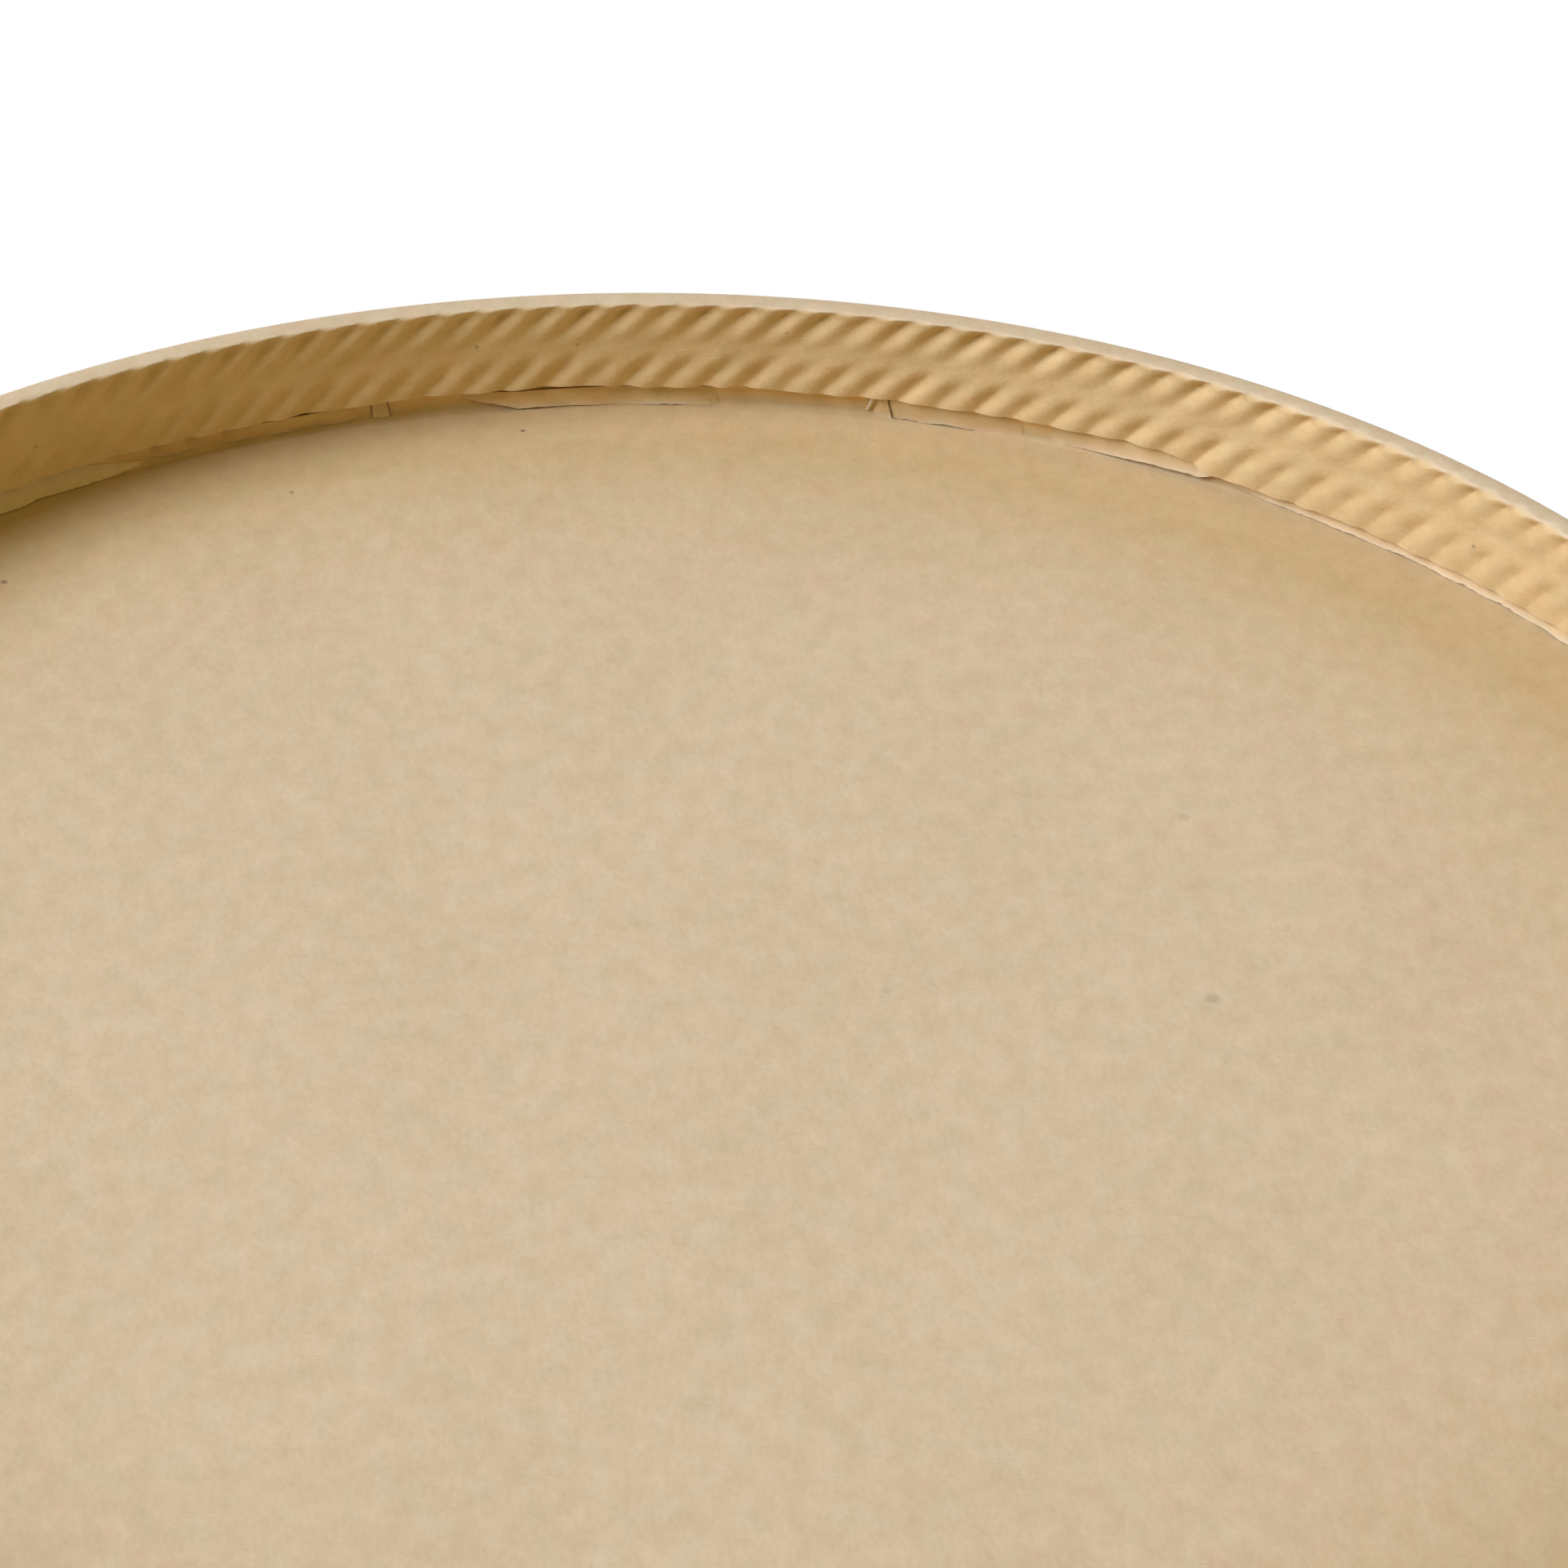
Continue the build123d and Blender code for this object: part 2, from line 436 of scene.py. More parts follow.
# both bands: the upper starts at the foot's edge and runs out at the waist, the lower grows to the raw
# edge; towards the waist the creases turn shallow and blunt
def knurlDepth(share, z, soft):
    start, full = wall["creaseTop"]
    upper = np.clip((z - start) / (full - start), 0, 1)
    upper = upper * np.clip(1 - z / wall["waist"], 0, 1) ** wall["upperFade"]
    lower = wall["lowerShare"] * smoothStep(wall["waist"] + 0.1, wall["lowerFull"], z)
    lower = lower * (1 + wall["softLower"] * soft)
    ease = wall["edgeEase"] + (wall["softEdgeEase"] - wall["edgeEase"]) * soft
    lower = lower * (1 - ease * smoothStep(wall["flapHeight"] - wall["edgeReach"], wall["flapHeight"], z))
    step = asideShare(z) * wall["sidestep"]
    sharp, more = wall["upperBlunt"]
    upperBlunt = sharp + more * smoothStep(0.5, 2.2, z)
    blunt, less = wall["lowerBlunt"]
    lowerBlunt = blunt - less * smoothStep(wall["waist"] + 0.5, wall["flapHeight"], z)
    upper = upper * creaseDepth(share - step, upperBlunt)
    both = upper + lower * creaseDepth(share - step + wall["sidestep"], lowerBlunt)
    return both * (1 - wall["softEase"] * soft)


# 1 along a stretch of the ring: climbs between the first two stops and falls between the last two
def stretchShare(angle, stops):
    first, second, third, last = stops
    along = np.degrees(angle) - 90
    return smoothStep(first, second, along) * smoothStep(last, third, along)


# knurled flap: height by angle; the foot's edge is round over the crests and sharp over the creases
def flapGrid():
    share = np.tile(ridgeColumns, wall["ridges"])
    ridge = np.repeat(np.arange(wall["ridges"]), len(ridgeColumns))
    angle = (ridge + share) * pitch
    angle = angle + ridgeDrift(angle)
    reached, left, gone = wall["lipShares"]
    lip = smoothStep(0.0, reached, share) * smoothStep(gone, left, share)
    lip = wall["lipSharp"] + (wall["lipRound"] - wall["lipSharp"]) * lip
    leaned = angle + knurlTurn(wall["flapHeight"])
    soft = stretchShare(leaned, wall["softAt"])
    lip = lip * (1 + wall["softLip"] * soft)
    rounded = np.linspace(0, pi / 2, 5)[:, None]
    low = np.linspace(0.04, 1, 6)[:, None]
    high = np.linspace(1.25, wall["flapHeight"] - 0.35, 17)[:, None]
    top = wall["flapHeight"] - np.array([0.18, 0.06, 0.0])[:, None]
    flat = 0 * lip
    height = np.concatenate([lip * (1 - np.cos(rounded)), lip + (1 - lip) * low, high + flat, top + flat])
    edge = wall["edgeWave"] * (waviness(angle, 9, 60, 3) + 0.4 * waviness(angle, 90, 260, 4))
    edge = edge + wall["edgeRise"] * stretchShare(leaned, wall["edgeRiseAt"])
    z = height + edge * (height / wall["flapHeight"]) ** 2
    inset = np.full(z.shape, wall["flapInset"])
    inset[:len(rounded)] -= lip * (1 - np.sin(rounded))
    turned = angle + knurlTurn(z)
    strength = 1 + wall["uneven"] * np.random.default_rng(wall["seed"]).normal(size=wall["ridges"])
    strength = strength[ridge] * (1 - share) + np.roll(strength, -1)[ridge] * share
    depth = knurlDepth(share, z, soft) * strength
    ripple = wall["ripple"] * waviness(angle, 30, 110, 6) * smoothStep(0.2, 1.2, z)
    dip = wall["waistDip"] * np.exp(-((z - wall["waist"]) / wall["waistWidth"]) ** 2)
    radius = besideWall(inset, z) + wall["relief"] * depth + dip + ripple
    # raw edge: across the board's thickness to the glued face
    backZ = wall["flapHeight"] + edge + 0.03 * waviness(angle, 150, 400, 7)
    middle = 0.5 * (radius[-1] + besideWall(flapBack, backZ))
    radius = np.vstack([radius, middle, besideWall(flapBack, backZ)])
    z = np.vstack([z, backZ + 0.04, backZ])
    turned = np.vstack([turned, turned[-1], turned[-1]])
    depth = np.vstack([depth, depth[-1], depth[-1]])
    return radius, z, turned, angle, depth


# section of the rest of the board: flap's back, pocket, inside, rolled rim, outside, fold and foot band
def wallSection():
    stretches = []

    def add(radius, z, lined, bump=0.0):
        radius, z = np.broadcast_arrays(np.asarray(radius, float), np.asarray(z, float))
        flags = [np.full(radius.shape, value) for value in (lined, bump)]
        stretches.append(np.stack([radius, z, *flags], axis=-1).reshape(-1, 4))

    z = np.linspace(wall["flapHeight"] - 0.3, foot["wallBoard"], wall["backRows"])
    add(besideWall(flapBack, z), z, 1)
    pocket = np.array([flapBack * 0.67 + wallPly * 0.33, wallPly])
    add(besideWall(pocket, foot["wallBoard"]), foot["wallBoard"], 1)
    rollFrom = 180 - np.degrees(flare)
    tuckStart, tuckEnd = wall["tuckStart"], wall["tuckEnd"]
    turn = np.concatenate([np.linspace(rollFrom, tuckStart, 18), np.linspace(tuckStart, tuckEnd, 13)[1:]])
    tight = wall["tighten"] * np.clip((tuckStart - turn) / (tuckStart - tuckEnd), 0, 1)
    turn = np.radians(turn)
    outside = rollRadius - tight
    inside = outside - foot["wallBoard"]
    start = rollUp + rollRadius * np.sin(turn[0])
    z = np.linspace(1.2, start, 14)[:-1]
    add(besideWall(wallPly, z), z, 1)
    add(rollAcross + outside * np.cos(turn), rollUp + outside * np.sin(turn), 1)
    add(rollAcross + inside[::-1] * np.cos(turn[::-1]), rollUp + inside[::-1] * np.sin(turn[::-1]), 0)
    z = np.linspace(start, wall["foldRound"], 18)[1:]
    add(besideWall(0, z), z, 0, smoothStep(0, 4, start - z) * smoothStep(1, 4, z))
    bend = np.linspace(0, pi / 2 - flare, 6)[1:]
    tuck = wall["foldRound"]
    heel = foot["radius"] + tuck * slope
    add(heel - tuck * (1 - np.cos(bend)), tuck - tuck * np.sin(bend) / cos(flare), 0)
    return np.concatenate(stretches)


# lap seam: the outer ply ramps off the wall, lies on it and ends in a raw edge
def seamStep(angle):
    edge = radians(wall["seamAngle"])
    run = (angle - edge) * foot["radius"]
    return smoothStep(-wall["seamRamp"], 0, run) * (run < wall["seamLap"])


# fine flap and coarse rest stitched into one closed surface, with marks for each point's finish and its
# painted shade
def makeSideWall():
    fineRadius, fineZ, fineAngle, ringAngle, depth = flapGrid()
    section = wallSection()
    coarse = ringAngle[::coarseStep].copy()
    lapEnd = radians(wall["seamAngle"]) + wall["seamLap"] / foot["radius"]
    after = int(np.searchsorted(coarse, lapEnd))
    coarse[after - 1:after + 1] = lapEnd - wall["lapEdge"], lapEnd + wall["lapEdge"]
    radius, z, lined, bump = [column[:, None] for column in section.T]
    glued = (np.arange(len(section)) < wall["backRows"] + 2)[:, None]
    angle = coarse + np.where(glued, knurlTurn(np.where(glued, z, 0)), 0)
    settle = wall["settle"] * waviness(coarse, 2, 9, 8)
    settle = settle * smoothStep(3, 20, z) * smoothStep(bowlHeight - 3, 40, z)
    coarseRadius = radius + bump * seamStep(coarse) * wallPly + settle
    coarseZ = z + 0 * coarse
    coarsePoints = polar(coarseRadius, coarseZ, angle + 0 * coarseZ)
    points = np.concatenate([polar(fineRadius, fineZ, fineAngle), coarsePoints])
    fine = np.arange(fineRadius.size).reshape(fineRadius.shape)
    rest = fine.size + np.arange(coarseRadius.size).reshape(coarseRadius.shape)
    joins = [stitch(fine[-1], rest[0], False), stitch(fine[0], rest[-1], True)]
    faces = [gridFaces(fine), gridFaces(rest), *joins]
    # browner over the whole knurled face, and a little more in the creases as painted shade
    pressed = smoothStep(0.0, 0.3, fineZ) * (0.8 + 0.2 * np.clip(depth, 0, 1))
    pressed = np.concatenate([pressed.ravel(), 0 * coarseZ.ravel()])
    tornRow = np.zeros(fineZ.shape)
    tornRow[-3:] = np.array([0.5, 1, 1])[:, None]
    torn = np.concatenate([tornRow.ravel(), 0 * coarseZ.ravel()])
    linedAll = np.concatenate([0 * fineZ.ravel(), (lined + 0 * coarseZ).ravel()])
    # painted shade in the creases' bottoms, deeper where the crease is deeper
    cut = np.concatenate([wall["creaseShade"] * np.clip(depth, 0, 1).ravel(), 0 * coarseZ.ravel()])
    return points, faces, {"pressed": pressed, "bare": torn, "lined": linedAll, "cut": cut}


# Torn plies that show between the flap's raw edge and the base

plies = {  # along the ring in degrees from +Y, then mm: both edges' heights and stand-offs from the skirt
    "tornPly": {
        "at": (-11.8, -10.2, -8.3, -6.2, -3.0, 0.0, 1.9, 2.3),
        "top": (6.3, 6.4, 6.45, 6.42, 6.4, 6.4, 6.4, 6.5),
        "low": (6.5, 7.1, 7.64, 7.62, 7.70, 7.66, 7.68, 7.6),
        "offTop": (-0.05, 0.14, 0.22, 0.18, 0.06, 0.02, 0.02, -0.08),
        "offLow": (-0.07, 0.16, 0.36, 0.26, 0.16, 0.18, 0.14, -0.04),
        "slant": (0.0, 0.1), "cut": (0, 0), "brown": 0.85,
    },
    "seamSliver": {
        "at": (10.50, 10.62, 10.74),
        "top": (6.0, 6.0, 6.0),
        "low": (7.3, 7.35, 7.3),
        "offTop": (0.10, 0.24, 0.10),
        "offLow": (-0.04, 0.06, -0.04),
        "slant": (-0.3, -0.3), "cut": (0, 0), "brown": 0.0,
    },
    "seamTab": {
        "at": (10.85, 11.2, 11.66),
        "top": (6.0, 6.0, 6.0),
        "low": (7.5, 7.66, 7.68),
        "offTop": (-0.08, 0.04, 0.10),
        "offLow": (-0.08, 0.02, 0.10),
        "slant": (-0.1, 0.18), "cut": (0, 0), "brown": 0.9,
    },
    "seamPly": {
        "at": (11.74, 13.0, 14.6, 16.0, 17.4, 19.0),
        "top": (6.1, 6.1, 6.15, 6.2, 6.4, 6.7),
        "low": (7.68, 7.67, 7.62, 7.64, 7.73, 7.73),
        "offTop": (0.20, 0.20, 0.18, 0.14, 0.0, -0.08),
        "offLow": (0.14, 0.18, 0.24, 0.20, 0.02, -0.08),
        "slant": (0.18, 0.0), "cut": (1, 0), "brown": 0.7,
    },
    "liftedPly": {
        "at": (20.6, 22.5, 24.5, 26.5, 29.0, 29.9, 30.5),
        "top": (5.9, 5.9, 5.9, 5.9, 5.9, 5.9, 5.9),
        "low": (7.66, 7.57, 7.45, 7.35, 7.25, 7.0, 6.5),
        "offTop": (-0.08, 0.02, 0.14, 0.24, 0.26, 0.26, 0.26),
        "offLow": (-0.06, 0.08, 0.24, 0.36, 0.34, 0.30, 0.24),
        "slant": (0.0, 0.3), "cut": (0, 0), "brown": 0.7,
    },
    "leftTab": {
        "at": (-16.35, -16.2, -15.6, -15.35),
        "top": (6.0, 6.0, 6.0, 6.0),
        "low": (7.3, 7.5, 7.5, 7.55),
        "offTop": (-0.02, 0.06, 0.08, 0.04),
        "offLow": (-0.06, 0.02, 0.03, -0.04),
        "slant": (0.1, 0.2), "cut": (0.8, 1), "brown": 0.6,
    },
    "rightPly": {
        "at": (30.9, 33.2, 39.0, 42.0, 45.0, 48.0, 52.0, 56.0, 60.0, 62.0),
        "top": (6.3, 6.4, 6.4, 6.4, 6.4, 6.4, 6.4, 6.4, 6.4, 6.4),
        "low": (7.4, 7.62, 7.66, 7.64, 7.66, 7.66, 7.64, 7.66, 7.66, 7.6),
        "offTop": (-0.08, 0.12, 0.20, 0.16, 0.20, 0.18, 0.20, 0.16, 0.12, -0.08),
        "offLow": (-0.08, 0.20, 0.36, 0.28, 0.38, 0.30, 0.38, 0.30, 0.24, -0.08),
        "slant": (0.3, 0.0), "cut": (0, 0), "brown": 0.7,
    },
    "edgePly": {
        "at": (-24.6, -24.0, -22.0, -20.0, -18.0, -17.2),
        "top": (6.25, 6.3, 6.33, 6.3, 6.28, 6.2),
        "low": (7.3, 7.5, 7.55, 7.5, 7.5, 7.3),
        "offTop": (-0.08, 0.20, 0.34, 0.36, 0.26, -0.08),
        "offLow": (-0.08, 0.02, 0.03, 0.04, 0.02, -0.08),
        "slant": (0.0, 0.0), "cut": (0, 0), "brown": 1.0,
    },
    "crackPly": {
        "at": (-28.6, -28.0, -27.2, -26.2),
        "top": (6.4, 6.3, 6.3, 6.25),
        "low": (7.2, 7.4, 7.4, 7.3),
        "offTop": (-0.08, 0.22, 0.28, -0.08),
        "offLow": (-0.08, 0.02, 0.02, -0.08),
        "slant": (0.0, 0.0), "cut": (0, 0), "brown": 1.0,
    },
    "farPly": {
        "at": (-44.0, -42.0, -36.0, -33.0, -31.0, -29.0),
        "top": (6.0, 6.0, 6.0, 6.3, 6.9, 7.4),
        "low": (7.6, 7.68, 7.66, 7.68, 7.68, 7.6),
        "offTop": (-0.08, 0.0, 0.02, 0.0, -0.02, -0.08),
        "offLow": (-0.08, 0.30, 0.42, 0.36, 0.24, -0.08),
        "slant": (0.0, 0.0), "cut": (0, 0), "brown": 0.0, "bare": 1.0,
    },
}
plyBoard = 0.07
plyStep = 0.16      # degrees between columns
plyRag = 0.035      # mm
plyMiddle = 6.9     # height about which the ends slant, in degrees per mm
plyCurl = 2.5       # power by which a ply bends from its upper to its lower stand-off
plySeed = 100


# ribbon along the skirt between two edges, whose heights and stand-offs are interpolated along the ring
def makePly(spec, seed):
    start, end = spec["at"][0], spec["at"][-1]
    along = np.linspace(start, end, 3 + int((end - start) / plyStep))
    run = np.radians(90 + along)
    top, low, offTop, offLow = [np.interp(along, spec["at"], spec[key])
                                for key in ("top", "low", "offTop", "offLow")]
    low = low + plyRag * (waviness(run, 60, 200, seed) + 0.6 * waviness(run, 300, 900, seed + 1))
    low = np.clip(low, top + 0.04, discUnder - 0.05)
    across = np.linspace(0, 1, 6)[:, None]
    z = top + (low - top) * across
    off = offTop + (offLow - offTop) * across ** plyCurl * (1 + 0.2 * waviness(run, 40, 160, seed + 2))
    front = besideWall(skirtFace, z) - off - plyBoard
    radius = np.vstack([front, front[::-1] + plyBoard])
    height = np.vstack([z, z[::-1]])
    slant = np.interp(along, (start, end), spec["slant"])
    angle = run + np.radians(slant * (height - plyMiddle))
    numbers = np.arange(radius.size).reshape(radius.shape)
    ring = np.vstack([numbers, numbers[:1]])
    rows = len(across)
    caps = [np.stack([numbers[:rows, end][:-1], numbers[:rows, end][1:], numbers[rows:, end][::-1][1:],
                      numbers[rows:, end][::-1][:-1]], axis=-1) for end in (0, -1)]
    faces = np.concatenate([gridFaces(ring, False), caps[0], caps[1][:, ::-1]])
    cut = np.zeros(height.shape)
    # painted shadow: a dark line at the chosen ends, where a gap would be in shade
    cut[:, 0], cut[:, -1] = spec["cut"]
    frayed = np.vstack([across ** 6, across[::-1] ** 6]) + 0 * height
    values = {
        "pressed": np.full(height.size, spec["brown"]),
        "bare": np.maximum(frayed, spec.get("bare", 0)).ravel(),
        "lined": np.zeros(height.size),
        "cut": cut.ravel(),
    }
    return polar(radius, height, angle), faces, values


# triangles between a fine ring and a coarse one, whose columns are every coarseStep-th fine column
def stitch(fine, coarse, flip):
    nextCoarse = np.roll(coarse, -1)
    column = np.arange(len(coarse)) * coarseStep
    rows = []
    for step in range(coarseStep):
        owner = coarse if step < coarseStep // 2 else nextCoarse
        rows.append(np.stack([fine[column + step], np.roll(fine, -1)[column + step], owner], axis=-1))
    rows.append(np.stack([fine[column + coarseStep // 2], nextCoarse, coarse], axis=-1))
    triangles = np.concatenate(rows)
    return triangles[:, ::-1] if flip else triangles


wallPoints, wallFaces, wallValues = makeSideWall()
for seed, spec in enumerate(plies.values()):
    plyPoints, plyFaces, extra = makePly(spec, plySeed + 10 * seed)
    wallFaces.append(plyFaces + len(wallPoints))
    wallPoints = np.concatenate([wallPoints, plyPoints])
    wallValues = {key: np.concatenate([wallValues[key], extra[key]]) for key in wallValues}
outward = [group[:, ::-1] for group in wallFaces]
sharpFold = 50      # degrees, above which an edge is shaded sharp
sideWall = makePiece("bowl_side_wall", wallPoints, outward, wallValues, wallBoard, sharpFold)
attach(sideWall, "root")
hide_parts("side_wall")


# Base: a disc with its edge drawn down into a skirt

base = {  # mm
    "columns": 360,
    "dish": 0.05,           # soft unevenness of the board
    "corner": 0.35,
    "bend": 0.9,
    "edgeShadeShare": 0.85,     # painted shade: how much browner and darker the underside is near the skirt
    "edgeShadeFlat": 5.0,       # painted shade: as dark as that for this far, then fading
    "edgeShadeFade": 8.0,
    "skirtLightShare": 0.9,      # painted light: how far its skirt is painted paler, to brighten the strip under the flap
    "underRows": 66,        # rows of the section that count as the underside
    "poleRadius": 0.4,
    "seed": 11,
}


# softly uneven board: a few long plane waves across the disc
def unevenness(x, y):
    random = np.random.default_rng(base["seed"])
    heading = random.uniform(0, pi, 9)
    length = random.uniform(14, 45, 9)
    start = random.uniform(0, 2 * pi, 9)
    along = np.multiply.outer(x, np.cos(heading)) + np.multiply.outer(y, np.sin(heading))
    return np.cos(along * 2 * pi / length + start).sum(-1) / 3


# section from the middle of the underside out, down and up the skirt and back over the top, turned about Z
def makeBaseDisc():
    skirtBack = wallPly + foot["glueGap"]
    outerCorner = besideWall(skirtBack, discTop)
    innerCorner = besideWall(skirtFace, discUnder)
    quarter = np.linspace(0, pi / 2, 6)
    under = innerCorner - base["corner"]
    sections = [
        (np.linspace(base["poleRadius"], under, 52), np.full(52, discUnder)),
        (under + base["corner"] * np.sin(quarter)[1:],
         discUnder - base["corner"] * (1 - np.cos(quarter))[1:]),
    ]
    z = np.linspace(discUnder - base["corner"], skirtLow, 8)[1:]
    sections.append((besideWall(skirtFace, z), z))
    z = np.linspace(skirtLow, discTop - base["bend"], 8)
    sections.append((besideWall(skirtBack, z), z))
    top = outerCorner - base["bend"]
    sections.append((top + base["bend"] * np.cos(quarter)[1:],
                     discTop - base["bend"] * (1 - np.sin(quarter))[1:]))
    sections.append((np.linspace(top, base["poleRadius"], 20)[1:], np.full(19, discTop)))
    radius = np.concatenate([run[0] for run in sections])[:, None]
    z = np.concatenate([run[1] for run in sections])[:, None]
    angle = np.arange(base["columns"]) * 2 * pi / base["columns"]
    dish = base["dish"] * unevenness(radius * np.cos(angle), radius * np.sin(angle))
    height = z + dish * smoothStep(under, under - 12, radius)
    points = polar(radius + 0 * angle, height, angle + 0 * height)
    rings = np.arange(len(points)).reshape(height.shape)
    poles = np.array([[0, 0, height[0].mean()], [0, 0, height[-1].mean()]])
    first, last = rings[0], rings[-1]
    capUnder = np.stack([np.full(len(first), len(points)), np.roll(first, -1), first], axis=-1)
    capTop = np.stack([last, np.roll(last, -1), np.full(len(last), len(points) + 1)], axis=-1)
    faces = [gridFaces(rings), capUnder, capTop]
    row = np.arange(len(z))[:, None]
    lined = smoothStep(discTop - 1.2, discTop - 0.7, z) * (row > base["underRows"])
    lined = np.append((lined + 0 * height).ravel(), [0, 1])
    below = row < base["underRows"]
    # painted shade: the underside is browner and darker near the skirt, flat for a few mm, then fading
    fading = np.maximum(under - radius - base["edgeShadeFlat"], 0) / base["edgeShadeFade"]
    edgeShade = base["edgeShadeShare"] * np.exp(-fading)
    turned = smoothStep(discUnder - 0.05, discUnder - 1.2, z)
    pressed = np.append((edgeShade * below + 0 * height).ravel(), [0, 0])
    # painted light: the skirt is painted paler
    bare = np.append((base["skirtLightShare"] * turned * below + 0 * height).ravel(), [0, 0])
    values = {"pressed": pressed, "bare": bare, "lined": lined, "cut": 0 * lined}
    return np.concatenate([points, poles]), faces, values


discPoints, discFaces, discValues = makeBaseDisc()
baseDisc = makePiece("bowl_base_disc", discPoints, discFaces, discValues, discBoard, sharpFold)
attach(baseDisc, "root")
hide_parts("base_disc")


# Studio

studio = {  # lamps: direction to the lamp, power and colour
    "floorSize": 2.2,
    "floorColor": (0.86, 0.86, 0.85),
    "floorRoughness": 0.9,
    "floorSides": 180,
    "opening": 64.2,                     # mm, radius under the foot where lamps shine through the floor
    "hole": 61.5,                        # mm, radius of the floor's hole, which the foot covers
    "above": (0.40, 0.40, 0.40),         # soft light from the upper half of the studio
    "below": (0.235, 0.190, 0.053),      # and from the lower half
    "horizon": 0.02,                     # rise and fall over which the two halves blend
    "keyFrom": (0.735, -0.245, -0.63),   # soft lamp that lights the underside
    "keyPower": 110.0,
    "keyColor": (1.0, 1.077, 1.345),
    "fillFrom": (-0.70, -0.35, -0.62),   # weak warm light from the other side
    "fillPower": 11.0,
    "fillColor": (1.0, 0.735, 0.27),
    "topFrom": (0.45, -0.55, 0.75),      # two soft lamps for the views from above
    "topPower": 40.0,
    "topColor": (1.0, 1.0, 1.0),
    "backFrom": (-0.55, 0.55, 0.62),
    "backPower": 25.0,
    "backColor": (1.0, 1.0, 1.0),
    "lampDistance": 3.0,
    "lampSize": 1.95,
}


# round soft lamp at lampDistance that faces the bowl
def addLamp(name):
    lamp = bpy.data.lights.new(name + "Lamp", "AREA")
    lamp.shape = "DISK"
    lamp.size = studio["lampSize"]
    lamp.energy = studio[name + "Power"]
    lamp.color = studio[name + "Color"]
    holder = bpy.data.objects.new(name + "Lamp", lamp)
    toLamp = Vector(studio[name + "From"]).normalized()
    holder.location = toLamp * studio["lampDistance"]
    holder.rotation_euler = toLamp.to_track_quat("Z", "Y").to_euler()
    bpy.context.scene.collection.objects.link(holder)


# pale round floor, clear from underneath and open to light under the foot: two rings with quads between
def addFloor():
    angle = np.linspace(0, 2 * pi, studio["floorSides"] + 1)[:-1]
    radius = np.array([[studio["hole"] * mm], [studio["floorSize"] / 2]]) + 0 * angle
    points = polar(radius, 0 * radius, angle + 0 * radius)
    faces = gridFaces(np.arange(len(points)).reshape(radius.shape))[:, ::-1]
    mesh = bpy.data.meshes.new("floor")
    mesh.from_pydata(points.tolist(), [], faces.tolist())
    floor = bpy.data.objects.new("floor", mesh)
    bpy.context.scene.collection.objects.link(floor)
    material = bpy.data.materials.new("floorPaint")
    material.use_nodes = True
    tree = material.node_tree
    paint = tree.nodes["Principled BSDF"]
    paint.inputs["Base Color"].default_value = (*studio["floorColor"], 1)
    paint.inputs["Roughness"].default_value = studio["floorRoughness"]
    reach = addNode(tree, "ShaderNodeVectorMath", operation="LENGTH")
    tree.links.new(addNode(tree, "ShaderNodeTexCoord").outputs["Object"], reach.inputs[0])
    under = addMath(tree, "LESS_THAN", reach.outputs["Value"], studio["opening"] * mm)
    path = addNode(tree, "ShaderNodeLightPath")
    unseen = addMath(tree, "SUBTRACT", 1.0, path.outputs["Is Camera Ray"])
    behind = addNode(tree, "ShaderNodeNewGeometry").outputs["Backfacing"]
    clear = addMath(tree, "MAXIMUM", behind, addMath(tree, "MULTIPLY", under, unseen))
    mix = addNode(tree, "ShaderNodeMixShader")
    tree.links.new(clear, mix.inputs[0])
    tree.links.new(paint.outputs[0], mix.inputs[1])
    tree.links.new(addNode(tree, "ShaderNodeBsdfTransparent").outputs[0], mix.inputs[2])
    tree.links.new(mix.outputs[0], tree.nodes["Material Output"].inputs["Surface"])
    mesh.materials.append(material)


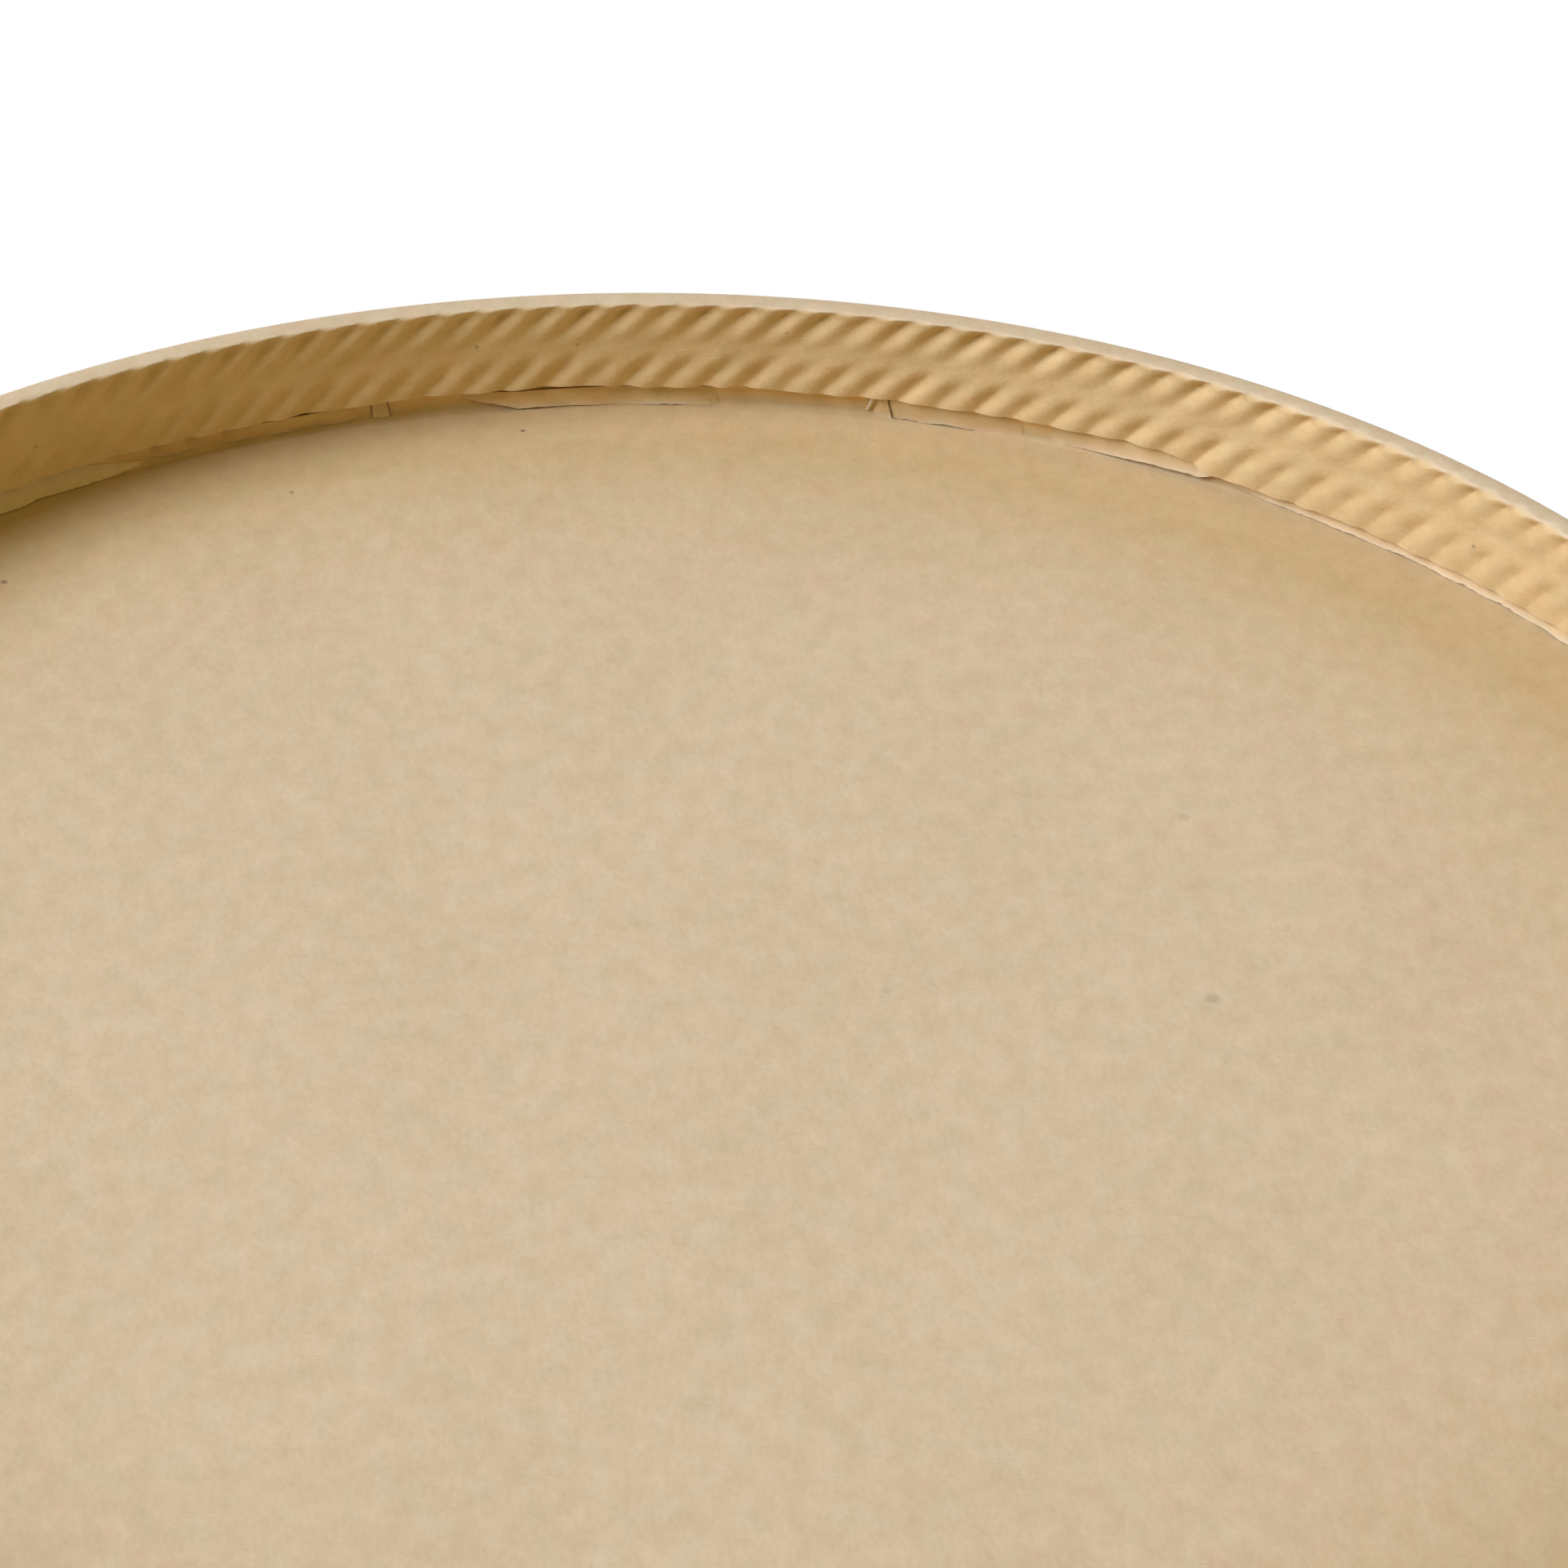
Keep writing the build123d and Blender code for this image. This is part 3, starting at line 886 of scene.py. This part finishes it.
# white to the camera and in reflections; as light, one level above and one below
def setWorld():
    world = bpy.data.worlds.new("studio")
    bpy.context.scene.world = world
    world.use_nodes = True
    tree = world.node_tree
    path = addNode(tree, "ShaderNodeLightPath")
    seen = addMath(tree, "MAXIMUM", path.outputs["Is Camera Ray"], path.outputs["Is Transmission Ray"])
    seen = addMath(tree, "MAXIMUM", seen, path.outputs["Is Glossy Ray"])
    heading = addNode(tree, "ShaderNodeSeparateXYZ")
    tree.links.new(addNode(tree, "ShaderNodeNewGeometry").outputs["Position"], heading.inputs[0])
    upper = addRange(tree, heading.outputs["Z"], -studio["horizon"], studio["horizon"])
    light = addMix(tree, upper, studio["below"], studio["above"])
    tree.links.new(addMix(tree, seen, light, (1.0, 1.0, 1.0)), tree.nodes["Background"].inputs["Color"])


addFloor()
for lampName in ("key", "fill", "top", "back"):
    addLamp(lampName)
setWorld()
print("studio: floor, four lamps and world")

photo = {  # camera fitted to the foot's outline; pixels in the 1920 x 1920 frame
    "frame": 1920,
    "focalPixels": 7000.0,
    "sensor": 36.0,
    "below": 35.735,         # degrees under the table
    "roll": 0.674,
    "distance": 4.4769,      # in foot radii
    "footCentre": (816.93, 1128.47),
    "clipStart": 0.01,
}


# looks up at the foot's centre, then turns until that centre falls on its pixel
def addCamera():
    rise, roll = radians(photo["below"]), radians(photo["roll"])
    look = Vector((0, cos(rise), sin(rise)))
    right = Vector((-1, 0, 0))
    up = right.cross(look)
    level = Matrix((right, up, -look)).transposed()
    half = photo["frame"] / 2
    across, down = [(pixel - half) / photo["focalPixels"] for pixel in photo["footCentre"]]
    aim = Vector((0, 0, -1)).rotation_difference(Vector((across, -down, -1))).to_matrix()
    turned = level @ (aim @ Matrix.Rotation(-roll, 3, "Z")).transposed()
    data = bpy.data.cameras.new("camera")
    data.sensor_width = photo["sensor"]
    data.lens = photo["focalPixels"] / photo["frame"] * photo["sensor"]
    data.clip_start = photo["clipStart"]
    camera = bpy.data.objects.new("camera", data)
    away = Matrix.Translation(-look * photo["distance"] * foot["radius"] * mm)
    camera.matrix_world = away @ turned.to_4x4()
    bpy.context.scene.collection.objects.link(camera)
    bpy.context.scene.camera = camera


addCamera()
print("camera:", photo["below"], "degrees under the table")
bpy.context.scene.view_settings.view_transform = "Standard"
